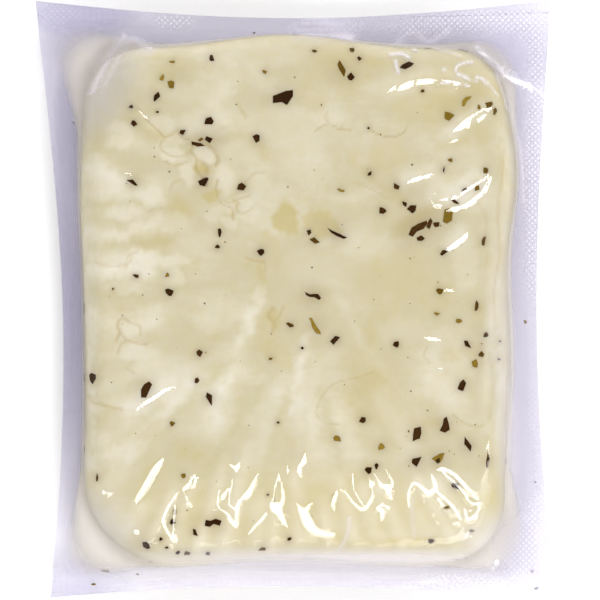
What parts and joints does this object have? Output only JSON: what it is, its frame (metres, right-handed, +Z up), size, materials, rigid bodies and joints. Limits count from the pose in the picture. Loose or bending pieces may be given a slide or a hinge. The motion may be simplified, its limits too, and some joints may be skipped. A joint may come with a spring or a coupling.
{
  "type": "vacuum-packed halloumi cheese",
  "caption": "Rounded block of halloumi with mint flakes, sealed under vacuum in a clear film pouch with a narrow knurled weld round it, lying flat.",
  "frame": {"origin": "on the surface that the pack lies on, under the middle of its box", "axes": "+Z up, out of the shown face; +Y along the pack's length, towards the end with the wider weld; +X to the right seen from above"},
  "size_m": [0.1216, 0.14, 0.0216],
  "materials": {
    "film": "clear glossy film drawn tight over pale cheese; pale lilac where it is only film",
    "cheese": "moist pale cream curd, smooth with shallow cracks, slightly translucent",
    "mint": "dried mint flakes, dark olive brown",
    "whey": "milky brine standing in the pouch's corners"
  },
  "bodies": {
    "root": {"vacuum_pack": "film"}
  },
  "joints": []
}
